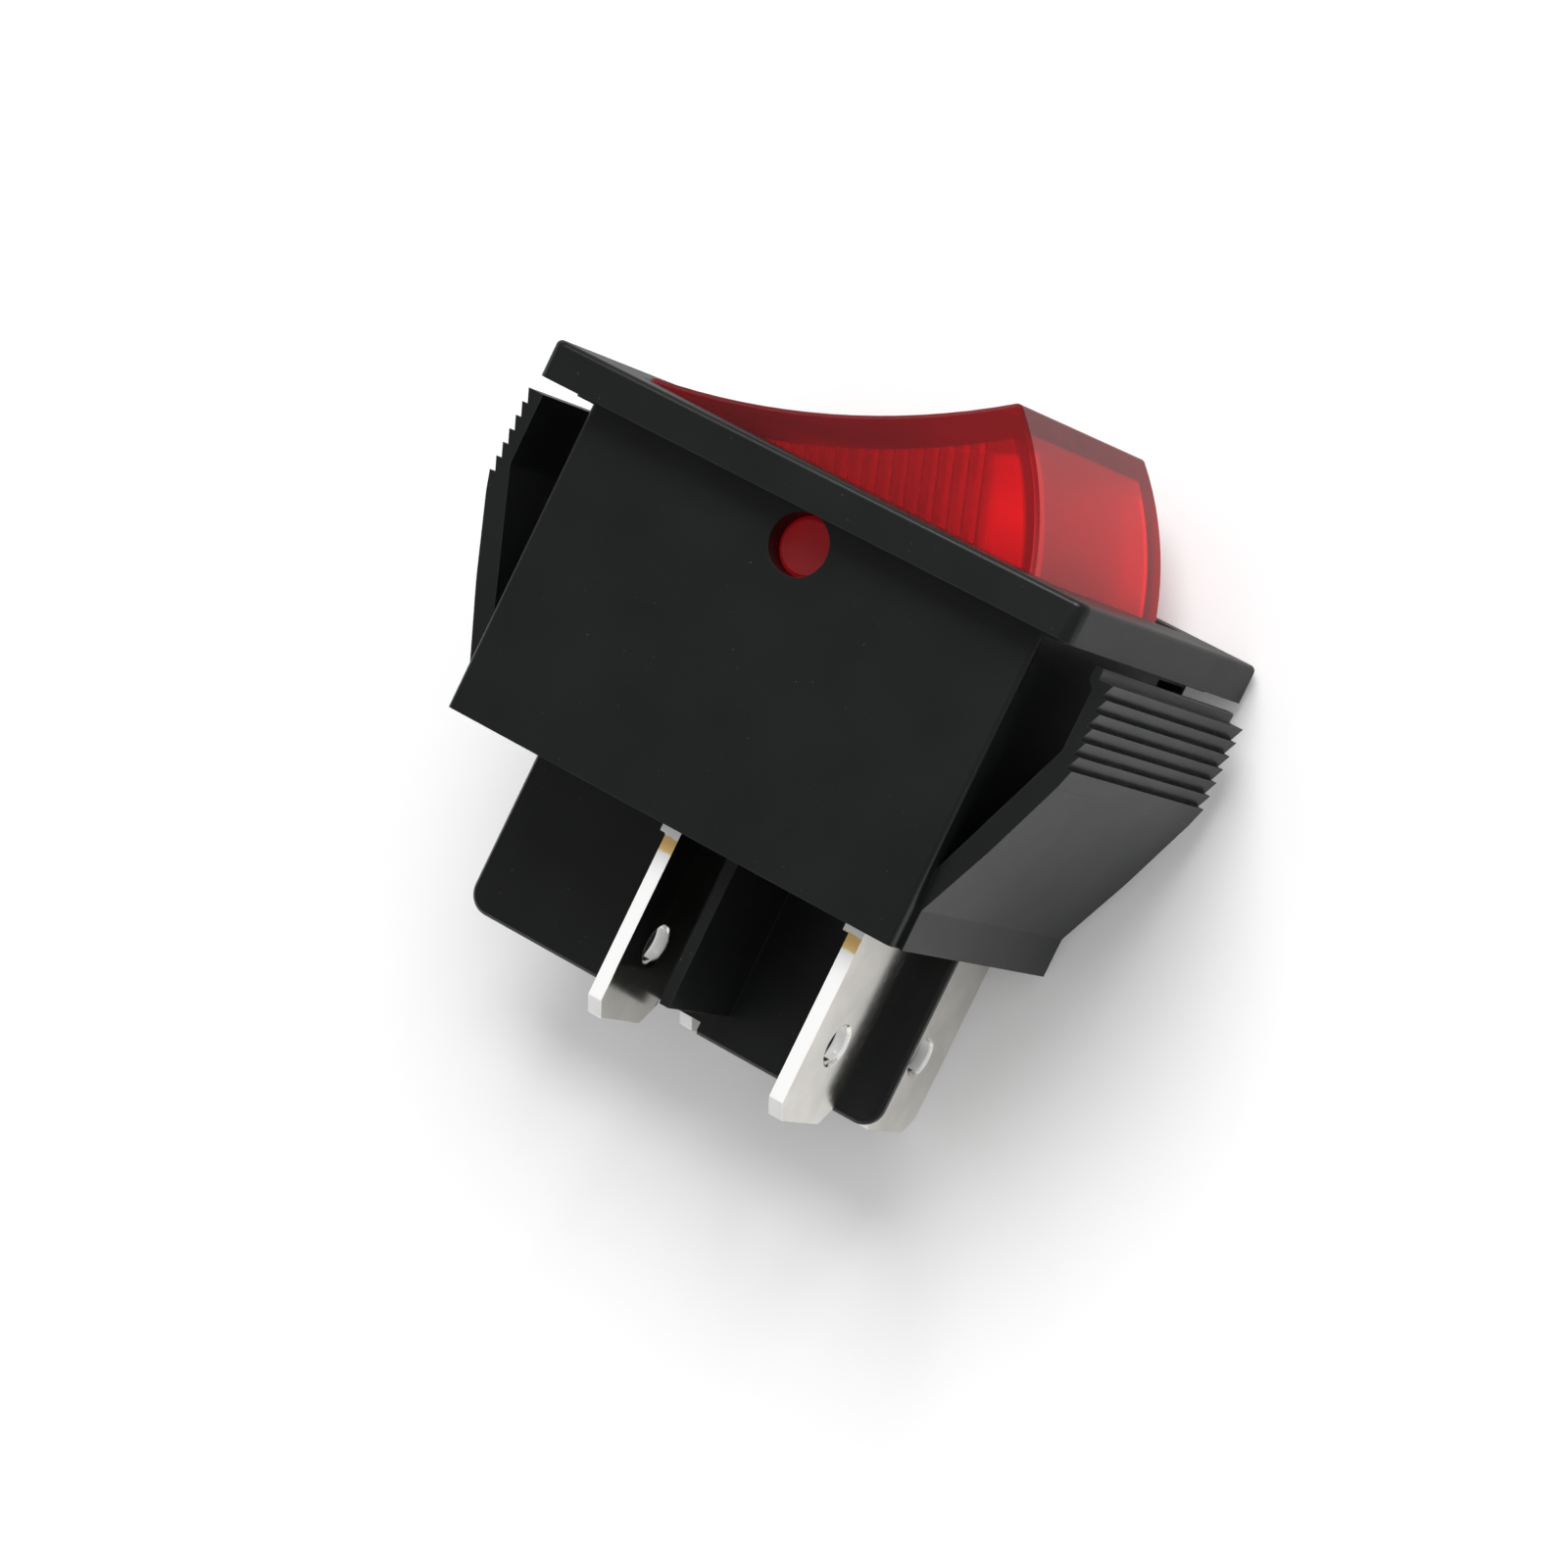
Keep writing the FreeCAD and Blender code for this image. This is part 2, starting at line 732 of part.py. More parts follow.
def ballast_resistor():
    """Small resistor in line with the lamp, with its waisted body."""
    z = lamp_axis()
    y = electrode_spacing / 2
    end = resistor_end()
    start = end - resistor_length
    cap = resistor_length / 4
    body = rod(resistor_waist, V(start + cap / 2, y, z), V(end - cap / 2, y, z))
    caps = [rod(resistor_radius, V(x, y, z), V(x + cap, y, z)) for x in (start, end - cap)]
    return rocker_pose(body.fuse(caps).removeSplitter())


def lamp_lead(side):
    """Lead from the lamp's pinch into the top of a plunger guide, over the spring."""
    z = lamp_axis()
    high = lead_height()
    y = side * electrode_spacing / 2
    pinch = lamp_x - lamp_length / 2
    stand = guide_bore + guide_wall + 3 * lead_radius
    inside = V(0, side * contact_line, high)
    entry = V(0, side * (lamp_radius + 2 * lead_radius), high)
    if side < 0:
        out = pinch - resistor_gap / 2
        points = [V(pinch, y, z), V(out, y, z), V(out, entry.y, z), V(out, entry.y, high), entry, inside]
        return rocker_pose(lead(points))
    far = resistor_end() - resistor_length
    back = far - resistor_gap / 2
    way = V(back, entry.y + resistor_radius, z)
    points = [V(far, y, z), V(back, y, z), way, V(back, way.y, high), V(-stand, way.y, high), entry, inside]
    short = lead([V(pinch, y, z), V(resistor_end(), y, z)])
    return rocker_pose(Part.makeCompound([lead(points), short]))


def save(name, shape):
    shape.exportStep(os.path.join("parts", name + ".step"))


os.makedirs("parts", exist_ok=True)
save("housing", housing())
save("base", base())
save("rocker", rocker())
save("neon_lamp", neon_lamp())
save("lamp_electrodes", lamp_electrodes())
save("ballast_resistor", ballast_resistor())
for name, side in (("front", -1), ("rear", 1)):
    save("plunger_" + name, plunger(side))
    save("plunger_spring_" + name, plunger_spring(side))
    save("contact_arm_" + name, contact_arm(side))
    save("arm_contact_" + name, arm_contact(side))
    save("fixed_contact_" + name, fixed_contact(side))
    save("common_terminal_" + name, common_terminal(side))
    save("load_terminal_" + name, load_terminal(side))
    save("lamp_lead_" + name, lamp_lead(side))
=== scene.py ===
import math

import bmesh
import bpy
from bpy.props import FloatProperty, FloatVectorProperty, IntProperty, PointerProperty
from mathutils import Matrix, Vector


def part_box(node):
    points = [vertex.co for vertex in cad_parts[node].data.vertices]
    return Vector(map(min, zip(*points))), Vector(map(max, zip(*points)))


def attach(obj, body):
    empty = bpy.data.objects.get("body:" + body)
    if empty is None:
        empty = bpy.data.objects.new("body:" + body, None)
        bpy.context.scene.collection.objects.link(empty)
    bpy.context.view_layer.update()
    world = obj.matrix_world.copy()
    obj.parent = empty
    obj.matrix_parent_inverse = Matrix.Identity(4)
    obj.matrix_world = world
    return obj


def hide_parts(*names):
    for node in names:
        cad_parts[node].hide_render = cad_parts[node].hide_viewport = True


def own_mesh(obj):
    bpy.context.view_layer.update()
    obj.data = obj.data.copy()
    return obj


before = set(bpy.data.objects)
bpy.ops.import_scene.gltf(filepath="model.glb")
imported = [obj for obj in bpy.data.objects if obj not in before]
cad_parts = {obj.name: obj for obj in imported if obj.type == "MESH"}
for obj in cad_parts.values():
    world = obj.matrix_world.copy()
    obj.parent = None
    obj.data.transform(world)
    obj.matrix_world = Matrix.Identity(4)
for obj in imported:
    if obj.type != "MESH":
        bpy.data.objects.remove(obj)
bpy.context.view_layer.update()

bl_info = {
    "name": "Panel Rocker Switch",
    "version": (1, 0, 0),
    "blender": (4, 5, 0),
    "location": "View3D > Sidebar > Rocker Switch",
    "description": "Finishes a lighted panel rocker switch and sets up its studio",
    "category": "Add Mesh",
}

MM = 0.001
POLES = ("front", "rear")
BLACK = (0.0, 0.0, 0.0, 1.0)
DUST = (0.22, 0.22, 0.21, 1.0)
PAINTED_RED_GLOW = (1.0, 0.02, 0.04, 1.0)

# Rounded copies: the merging distance, and the bends in degrees up to which faces join, up to which shading
# is smooth and from which edges are rounded
MERGE_DISTANCE = 0.002 * MM
JOIN_ANGLE = 0.4
SMOOTH_ANGLE = 25.0
ROUND_ANGLE = 35.0

# Added roughness of the rocker's ribs and pivot stubs
RIB_FROST = 0.4
STUB_FROST = 0.3

# Soft borders of the rocker's zones, measured aside, along, up from the pivot or from an end wall's axis
WALL_INSIDE = (0.0070, 0.0072)
WALL_OUTSIDE = (0.0083, 0.0081)
RIB_TOP = (0.0055, 0.0052)
RIB_END = (0.0086, 0.0083)
CLEAR_START = (0.0079, 0.0089)
CLEAR_END = (0.0154, 0.0151)
END_INSIDE = (0.0148, 0.0149)
END_OUTSIDE = (0.0154, 0.0153)
END_SIDE = (0.0081, 0.0078)
STUB_START = (0.00895, 0.00905)

# An end wall's axis: beyond the middle as seen from that end, above the pivot
END_AXIS_BEYOND = 0.00465
END_AXIS_HEIGHT = 0.0005

# Heights between which the blades' sheared sides turn to bare brass and back
BRASS_FOOT = (-0.0181, -0.0179)
BRASS_HEAD = (-0.01715, -0.01725)
BARE_BRASS = (0.90, 0.60, 0.22, 1.0)
# Near-white matte colour of the sheared sides: partly their own sheared finish, partly a painted highlight
# standing in for the lamps' glint on them
SHEARED_EDGE_AND_HIGHLIGHT = (0.98, 0.98, 0.97, 1.0)

# Painted rings: place along the resistor in millimetres, colour
RESISTOR_RINGS = ((-1.1, (0.05, 0.02, 0.01)), (-0.45, (0.02, 0.02, 0.02)), (0.2, (0.5, 0.3, 0.02)),
                  (1.1, (0.45, 0.32, 0.08)))

# The switch's middle, which the lamps aim at, and how far right of and above the picture's middle it shows
SWITCH_MIDDLE = (0.0, 0.0, -0.006)
OFF_CENTRE = (0.002976, 0.006565)

# Half the paper's width and the glow that keeps it white in the picture
PAPER_REACH = 1.5
PAPER_GLOW = 0.1


# Nodes


class Tree:
    """A node tree with short calls to add nodes and set or link their inputs."""

    def __init__(self, tree):
        self.tree = tree
        tree.nodes.clear()

    def add(self, kind, inputs=None, **settings):
        made = self.tree.nodes.new(kind)
        for name, value in settings.items():
            setattr(made, name, value)
        for name, value in (inputs or {}).items():
            self.set(made.inputs[name], value)
        return made

    def set(self, socket, value):
        if isinstance(value, bpy.types.NodeSocket):
            self.tree.links.new(value, socket)
        else:
            socket.default_value = value

    def math(self, operation, first, second=0.5):
        return self.add("ShaderNodeMath", {0: first, 1: second}, operation=operation).outputs[0]

    def times(self, first, second):
        return self.math("MULTIPLY", first, second)

    def plus(self, first, second):
        return self.math("ADD", first, second)

    def minus(self, first, second):
        return self.math("SUBTRACT", first, second)

    def vector_math(self, operation, first, second):
        return self.add("ShaderNodeVectorMath", {0: first, 1: second}, operation=operation).outputs

    def split(self, vector):
        return self.add("ShaderNodeSeparateXYZ", {0: vector}).outputs

    def span(self, value, low, high, to_low=0.0, to_high=1.0):
        inputs = {"Value": value, "From Min": low, "From Max": high, "To Min": to_low, "To Max": to_high}
        return self.add("ShaderNodeMapRange", inputs, interpolation_type="SMOOTHSTEP").outputs[0]

    def mix(self, factor, first, second):
        made = self.add("ShaderNodeMix", data_type="RGBA")
        self.set(made.inputs[0], factor)
        self.set(made.inputs[6], first)
        self.set(made.inputs[7], second)
        return made.outputs[2]

    def noise(self, vector, scale, detail=2.0, roughness=0.5):
        inputs = {"Vector": vector, "Scale": scale, "Detail": detail, "Roughness": roughness}
        return self.add("ShaderNodeTexNoise", inputs).outputs["Fac"]

    def object_place(self, stretch=(1.0, 1.0, 1.0)):
        place = self.add("ShaderNodeTexCoord").outputs["Object"]
        return self.add("ShaderNodeMapping", {"Vector": place, "Scale": stretch}).outputs[0]


def effect(name, inputs, outputs):
    """A new shader node group with named float inputs and outputs."""
    group = bpy.data.node_groups.new(name, "ShaderNodeTree")
    for label, default in inputs:
        socket = group.interface.new_socket(label, in_out="INPUT", socket_type="NodeSocketFloat")
        socket.default_value = default
    for label in outputs:
        group.interface.new_socket(label, in_out="OUTPUT", socket_type="NodeSocketFloat")
    tree = Tree(group)
    return tree, tree.add("NodeGroupInput").outputs, tree.add("NodeGroupOutput").inputs


def moulded_grain():
    """Fine spark-eroded grain with slow waves in gloss, for moulded plastic."""
    name = "Moulded grain"
    if name in bpy.data.node_groups:
        return bpy.data.node_groups[name]
    tree, given, out = effect(name, [("Grain Size", 0.00012), ("Depth", 0.000003), ("Gloss Change", 0.08)],
                              ["Height", "Gloss Shift", "Speck"])
    place = tree.object_place()
    scale = tree.math("DIVIDE", 1.0, given["Grain Size"])
    fine = tree.noise(place, scale, 3.0, 0.6)
    slow = tree.noise(place, 260.0, 3.0)
    tree.set(out["Height"], tree.times(fine, given["Depth"]))
    tree.set(out["Gloss Shift"], tree.times(tree.minus(slow, 0.5), given["Gloss Change"]))
    dots = tree.noise(place, 5200.0, 1.0)
    tree.set(out["Speck"], tree.span(dots, 0.76, 0.8))
    return tree.tree


def edge_wear():
    """Patchy mask of the edges, from the difference between the rounded and the true normal."""
    name = "Edge wear"
    if name in bpy.data.node_groups:
        return bpy.data.node_groups[name]
    tree, given, out = effect(name, [("Radius", 0.00015), ("Patchiness", 0.5)], ["Mask"])
    rounded = tree.add("ShaderNodeBevel", {"Radius": given["Radius"]}, samples=4)
    true = tree.add("ShaderNodeNewGeometry")
    dot = tree.vector_math("DOT_PRODUCT", rounded.outputs[0], true.outputs["Normal"])
    edge = tree.span(dot["Value"], 0.99, 0.8)
    patch = tree.span(tree.noise(tree.object_place(), 700.0, 3.0), 0.35, 0.65)
    worn_off = tree.times(given["Patchiness"], tree.minus(1.0, patch))
    kept = tree.minus(1.0, worn_off)
    tree.set(out["Mask"], tree.times(edge, kept))
    return tree.tree


def fine_scratches():
    """Mask of hairline marks in two directions."""
    name = "Fine scratches"
    if name in bpy.data.node_groups:
        return bpy.data.node_groups[name]
    tree, given, out = effect(name, [("Amount", 0.5)], ["Mask"])
    marks = []
    for stretch in ((900.0, 9000.0, 160.0), (160.0, 9000.0, 1400.0)):
        streak = tree.noise(tree.object_place(stretch), 1.0, 2.0, 0.6)
        marks.append(tree.span(streak, 0.64, 0.72))
    both = tree.math("MAXIMUM", marks[0], marks[1])
    tree.set(out["Mask"], tree.times(both, given["Amount"]))
    return tree.tree


def rocker_zones():
    """Masks of the rocker's ribbed walls, clear inner corners, end walls and stubs, in its own frame."""
    name = "Rocker zones"
    if name in bpy.data.node_groups:
        return bpy.data.node_groups[name]
    masks = ["Ribs", "Clear Wall", "End Wall", "Stub"]
    tree, given, out = effect(name, [("Tilt", 0.36), ("Pivot Depth", 0.0017)], masks)
    below = tree.times(given["Pivot Depth"], -1.0)
    center = tree.add("ShaderNodeCombineXYZ", {2: below}).outputs[0]
    inputs = {"Vector": tree.object_place(), "Center": center, "Angle": given["Tilt"]}
    turned = tree.add("ShaderNodeVectorRotate", inputs, rotation_type="Y_AXIS").outputs[0]
    place = tree.split(turned)
    along = tree.math("ABSOLUTE", place[0])
    aside = tree.math("ABSOLUTE", place[1])
    height = tree.plus(place[2], given["Pivot Depth"])
    inside = tree.times(tree.span(aside, *WALL_INSIDE), tree.span(aside, *WALL_OUTSIDE))
    inside = tree.times(inside, tree.span(height, *RIB_TOP))
    tree.set(out["Ribs"], tree.times(inside, tree.span(along, *RIB_END)))
    # The end walls are round, so their zones go by the distance from their axis
    level = tree.minus(height, END_AXIS_HEIGHT)
    reach = tree.plus(along, END_AXIS_BEYOND)
    squares = tree.plus(tree.times(reach, reach), tree.times(level, level))
    radius = tree.math("SQRT", squares)
    clear = tree.times(tree.span(along, *CLEAR_START), tree.span(radius, *CLEAR_END))
    tree.set(out["Clear Wall"], tree.times(inside, clear))
    end = tree.times(tree.span(radius, *END_INSIDE), tree.span(radius, *END_OUTSIDE))
    tree.set(out["End Wall"], tree.times(end, tree.span(aside, *END_SIDE)))
    tree.set(out["Stub"], tree.span(aside, *STUB_START))
    return tree.tree


# Materials


def start_material(name):
    material = bpy.data.materials.new(name)
    material.use_nodes = True
    tree = Tree(material.node_tree)
    shader = tree.add("ShaderNodeBsdfPrincipled")
    output = tree.add("ShaderNodeOutputMaterial", {"Surface": shader.outputs[0]})
    return material, tree, shader.inputs, output.inputs


def use_effect(tree, group, **values):
    made = tree.add("ShaderNodeGroup", node_tree=group)
    for name, value in values.items():
        tree.set(made.inputs[name.replace("_", " ")], value)
    return made.outputs


def raise_surface(tree, shader, height):
    """Lifts the surface's shading by a height in metres."""
    bump = tree.add("ShaderNodeBump", {"Height": height, "Distance": 1.0, "Strength": 1.0})
    tree.set(shader["Normal"], bump.outputs[0])


def colour(values):
    return (values[0], values[1], values[2], 1.0)


def shade(values, factor):
    return colour([v * factor for v in values])


def black_plastic():
    """Black nylon moulding: satin, faintly green-grey, greyer where edges are rubbed."""
    if "Black plastic" in bpy.data.materials:
        return bpy.data.materials["Black plastic"]
    settings = bpy.context.scene.switch_plastic
    material, tree, shader, _ = start_material("Black plastic")
    grain = use_effect(tree, moulded_grain(), Grain_Size=settings.grain_size, Depth=settings.grain_depth,
                       Gloss_Change=0.12)
    wear = use_effect(tree, edge_wear(), Radius=0.00012, Patchiness=0.6)
    cloud = tree.noise(tree.object_place(), 180.0, 3.0)
    base = tree.mix(tree.span(cloud, 0.3, 0.7), colour(settings.black), shade(settings.black, 1.35))
    rubbed = tree.mix(tree.times(wear["Mask"], 0.5), base, colour(settings.rubbed))
    dusty = tree.mix(tree.times(grain["Speck"], 0.18), rubbed, DUST)
    tree.set(shader["Base Color"], dusty)
    tree.set(shader["Roughness"], tree.plus(settings.gloss, grain["Gloss Shift"]))
    raise_surface(tree, shader, grain["Height"])
    shader["IOR"].default_value = 1.5
    shader["Specular IOR Level"].default_value = 0.42
    return material


def red_plastic():
    """Clear red plastic: light is taken up on its way through the walls, so thick places turn deep red; a
    painted red glow brightens its clear inner corners, end walls and pivot stubs.
    """
    if "Clear red plastic" in bpy.data.materials:
        return bpy.data.materials["Clear red plastic"]
    settings = bpy.context.scene.switch_rocker
    material, tree, shader, output = start_material("Clear red plastic")
    grain = use_effect(tree, moulded_grain(), Grain_Size=0.0009, Depth=0.000002, Gloss_Change=0.06)
    cloud = tree.noise(tree.object_place(), 240.0, 2.0)
    deeper = shade(settings.red, 0.96)
    tree.set(shader["Base Color"], tree.mix(tree.span(cloud, 0.35, 0.65), colour(settings.red), deeper))
    tilt = math.radians(settings.tilt)
    zones = use_effect(tree, rocker_zones(), Tilt=tilt, Pivot_Depth=settings.pivot_depth)
    frosted = tree.plus(tree.times(zones["Ribs"], RIB_FROST), tree.times(zones["Stub"], STUB_FROST))
    even = tree.plus(settings.gloss, grain["Gloss Shift"])
    tree.set(shader["Roughness"], tree.plus(even, frosted))
    raise_surface(tree, shader, grain["Height"])
    # Painted glow: red emission in the clear inner corners, the end walls and the pivot stubs stands in for
    # the light gathered there
    gathered = tree.plus(tree.times(zones["Clear Wall"], settings.corner_light),
                         tree.times(zones["End Wall"], settings.end_light))
    gathered = tree.plus(gathered, tree.times(zones["Stub"], settings.stub_light))
    tree.set(shader["Emission Color"], tree.mix(gathered, BLACK, PAINTED_RED_GLOW))
    shader["Emission Strength"].default_value = 1.0
    shader["Transmission Weight"].default_value = 0.9
    shader["IOR"].default_value = 1.45
    shader["Specular IOR Level"].default_value = 0.32
    inputs = {"Color": colour(settings.depth_red), "Density": settings.density}
    tree.set(output["Volume"], tree.add("ShaderNodeVolumeAbsorption", inputs).outputs[0])
    return material


def plated_metal():
    """Bright plated metal, drawn along the blade; its sheared sides are paler, partly their own matte
    finish and partly a painted highlight, with brass at the root.
    """
    if "Plated metal" in bpy.data.materials:
        return bpy.data.materials["Plated metal"]
    settings = bpy.context.scene.switch_metal
    material, tree, shader, _ = start_material("Plated metal")
    drawn = tree.noise(tree.object_place((6000.0, 6000.0, 1500.0)), 1.0, 3.0, 0.6)
    cloud = tree.noise(tree.object_place(), 500.0, 3.0)
    scratches = use_effect(tree, fine_scratches(), Amount=0.12)
    plate = tree.mix(tree.span(cloud, 0.3, 0.75), colour(settings.plate), shade(settings.plate, 0.88))
    place = tree.split(tree.object_place())
    facing = tree.split(tree.add("ShaderNodeNewGeometry").outputs["True Normal"])
    sheared = tree.span(tree.math("ABSOLUTE", facing[1]), 0.45, 0.65)
    ragged = tree.plus(place[2], tree.times(tree.minus(cloud, 0.5), 0.0006))
    below = tree.span(ragged, *BRASS_FOOT)
    above = tree.span(ragged, *BRASS_HEAD)
    bare = tree.times(sheared, tree.times(below, above))
    # Painted highlight: the sheared sides turn near-white and non-metallic, partly their own matte finish
    # and partly standing in for the lamps' glint
    frosted = tree.mix(sheared, plate, SHEARED_EDGE_AND_HIGHLIGHT)
    tree.set(shader["Base Color"], tree.mix(bare, frosted, BARE_BRASS))
    tree.set(shader["Metallic"], tree.span(sheared, 0.0, 1.0, 1.0, 0.0))
    lines = tree.times(drawn, 0.08)
    even = tree.plus(settings.gloss, lines)
    tree.set(shader["Roughness"], tree.plus(even, scratches["Mask"]))
    raise_surface(tree, shader, tree.times(drawn, 0.0000005))
    return material


def plain_metal(name, tint, gloss, stretch):
    """Metal with fine marks, stretched as asked, and slow tarnish."""
    if name in bpy.data.materials:
        return bpy.data.materials[name]
    material, tree, shader, _ = start_material(name)
    drawn = tree.noise(tree.object_place(stretch), 1.0, 3.0, 0.6)
    cloud = tree.noise(tree.object_place(), 400.0, 3.0)
    tree.set(shader["Base Color"], tree.mix(tree.span(cloud, 0.35, 0.7), colour(tint), shade(tint, 0.8)))
    tree.set(shader["Metallic"], 1.0)
    tree.set(shader["Roughness"], tree.plus(gloss, tree.times(drawn, 0.15)))
    raise_surface(tree, shader, tree.times(drawn, 0.000001))
    return material


def brass():
    return plain_metal("Strip brass", bpy.context.scene.switch_metal.brass, 0.28, (600.0, 9000.0, 9000.0))


def silver():
    return plain_metal("Contact silver", (0.86, 0.85, 0.82), 0.3, (4000.0, 4000.0, 4000.0))


def steel():
    return plain_metal("Spring steel", (0.62, 0.62, 0.61), 0.24, (3000.0, 3000.0, 3000.0))


def tinned_wire():
    return plain_metal("Tinned wire", (0.72, 0.71, 0.69), 0.32, (5000.0, 5000.0, 5000.0))


def lamp_glass():
    """Clear soda glass of the lamp, a little wavy."""
    if "Lamp glass" in bpy.data.materials:
        return bpy.data.materials["Lamp glass"]
    material, tree, shader, _ = start_material("Lamp glass")
    wave = tree.noise(tree.object_place(), 900.0, 2.0)
    tree.set(shader["Base Color"], tree.mix(wave, (0.98, 0.97, 0.95, 1.0), (0.94, 0.95, 0.93, 1.0)))
    tree.set(shader["Roughness"], tree.span(wave, 0.3, 0.7, 0.02, 0.07))
    raise_surface(tree, shader, tree.times(wave, 0.00001))
    shader["Transmission Weight"].default_value = 1.0
    shader["IOR"].default_value = 1.5
    return material


def resistor_coat():
    """Dipped tan coating with four painted rings across the resistor's length."""
    if "Resistor coat" in bpy.data.materials:
        return bpy.data.materials["Resistor coat"]
    material, tree, shader, _ = start_material("Resistor coat")
    low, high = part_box("ballast_resistor")
    middle = (Vector(low) + Vector(high)) / 2
    tilt = -math.radians(bpy.context.scene.switch_rocker.tilt)
    place = tree.add("ShaderNodeTexCoord").outputs["Object"]
    along = Vector((math.cos(tilt), 0.0, -math.sin(tilt)))
    from_middle = tree.vector_math("SUBTRACT", place, tuple(middle))[0]
    reach = tree.vector_math("DOT_PRODUCT", from_middle, tuple(along))["Value"]
    cloud = tree.noise(place, 900.0, 3.0)
    coat = tree.mix(cloud, (0.50, 0.36, 0.20, 1.0), (0.58, 0.44, 0.27, 1.0))
    for at, paint in RESISTOR_RINGS:
        away = tree.math("ABSOLUTE", tree.minus(reach, at * MM))
        coat = tree.mix(tree.span(away, 0.2 * MM, 0.16 * MM), coat, colour(paint))
    tree.set(shader["Base Color"], coat)
    tree.set(shader["Roughness"], tree.span(cloud, 0.3, 0.7, 0.38, 0.5))
    raise_surface(tree, shader, tree.times(cloud, 0.00001))
    return material


# Shapes


def dress(node, material):
    """Gives a CAD node its finish and leaves its mesh alone."""
    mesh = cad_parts[node].data
    for i in range(len(mesh.materials)):
        mesh.materials[i] = material
    if not mesh.materials:
        mesh.materials.append(material)


def add_object(name, mesh):
    made = bpy.data.objects.new(name, mesh)
    bpy.context.scene.collection.objects.link(made)
    return made


def bake_modifiers(piece):
    """Turns the evaluated piece into a plain mesh and drops its modifiers."""
    graph = bpy.context.evaluated_depsgraph_get()
    mesh = bpy.data.meshes.new_from_object(piece.evaluated_get(graph))
    piece.modifiers.clear()
    piece.data = mesh
    mesh.name = piece.name


def smooth_curves(mesh):
    """Shades shallow bends smooth and keeps the others crisp."""
    mesh.polygons.foreach_set("use_smooth", [True] * len(mesh.polygons))
    mesh.set_sharp_from_angle(angle=math.radians(SMOOTH_ANGLE))


def flatten_large_faces(piece):
    """Turns the shading normals at a rounded edge towards the larger faces, so flat walls look flat."""
    weighted = piece.modifiers.new("Flat walls", "WEIGHTED_NORMAL")
    weighted.mode = "FACE_AREA"
    weighted.weight = 100
    weighted.keep_sharp = True
    bake_modifiers(piece)


def rounded_copy(node, name, width, material, body):
    """A merged copy of a CAD node with its sharp edges rounded off a little; it stands for the node."""
    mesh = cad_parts[node].data.copy()
    mesh.materials.clear()
    mesh.materials.append(material)
    shape = bmesh.new()
    shape.from_mesh(mesh)
    bmesh.ops.remove_doubles(shape, verts=shape.verts, dist=MERGE_DISTANCE)
    flat = math.radians(JOIN_ANGLE)
    bmesh.ops.dissolve_limit(shape, angle_limit=flat, verts=shape.verts, edges=shape.edges)
    shape.to_mesh(mesh)
    shape.free()
    if "custom_normal" in mesh.attributes:
        mesh.attributes.remove(mesh.attributes["custom_normal"])
    piece = add_object(name, mesh)
    bevel = piece.modifiers.new("Round", "BEVEL")
    bevel.width = width
    bevel.segments = 2
    bevel.limit_method = "ANGLE"
    bevel.angle_limit = math.radians(ROUND_ANGLE)
    bake_modifiers(piece)
    smooth_curves(piece.data)
    flatten_large_faces(piece)
    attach(piece, body)
    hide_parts(node)
    return piece


# Settings


class PlasticSettings(bpy.types.PropertyGroup):
    black: FloatVectorProperty(name="Black", description="Colour of the mouldings", subtype="COLOR",
                               default=(0.0058, 0.0069, 0.0065), min=0, max=1)
    rubbed: FloatVectorProperty(name="Rubbed", description="Colour of rubbed edges", subtype="COLOR",
                                default=(0.045, 0.046, 0.045), min=0, max=1)
    gloss: FloatProperty(name="Roughness", description="Roughness of the mouldings", default=0.34,
                         min=0, max=1)
    grain_size: FloatProperty(name="Grain size", description="Size of the moulded grain",
                              default=0.00012, unit="LENGTH", precision=6)
    grain_depth: FloatProperty(name="Grain depth", description="Depth of the moulded grain",
                               default=0.0000025, unit="LENGTH", precision=7)
    edge: FloatProperty(name="Edge rounding", description="Width of the rounding on moulded edges",
                        default=0.00005, unit="LENGTH", precision=6)


class RockerSettings(bpy.types.PropertyGroup):
    red: FloatVectorProperty(name="Red", description="Tint of one wall of the rocker", subtype="COLOR",
                             default=(0.96, 0.04, 0.06), min=0, max=1)
    depth_red: FloatVectorProperty(name="Depth red",
                                   description="Light that the plastic lets through inside",
                                   subtype="COLOR", default=(0.69, 0.0, 0.29), min=0, max=1)
    density: FloatProperty(name="Density", description="How fast the plastic takes up light",
                           default=280.0, min=0)
    gloss: FloatProperty(name="Roughness", description="Roughness of the rocker", default=0.26,
                         min=0, max=1)
    tilt: FloatProperty(name="Tilt", description="Lean of the rocker at rest, in degrees", default=20.5)
    pivot_depth: FloatProperty(name="Pivot depth",
                               description="Pivot's depth below the bezel's underside", default=0.0017,
                               unit="LENGTH", precision=4)
    # Strengths of the painted red glow, which stands in for light gathered in the clear inner corners, the
    # end walls and the pivot stubs
    corner_light: FloatProperty(name="Corner light",
                                description="Light gathered in the clear inner corners", default=0.35,
                                min=0, max=1)
    end_light: FloatProperty(name="End light", description="Light gathered in the end walls",
                             default=0.05, min=0, max=1)
    stub_light: FloatProperty(name="Stub light", description="Light gathered in the pivot stubs",
                              default=0.055, min=0, max=1)


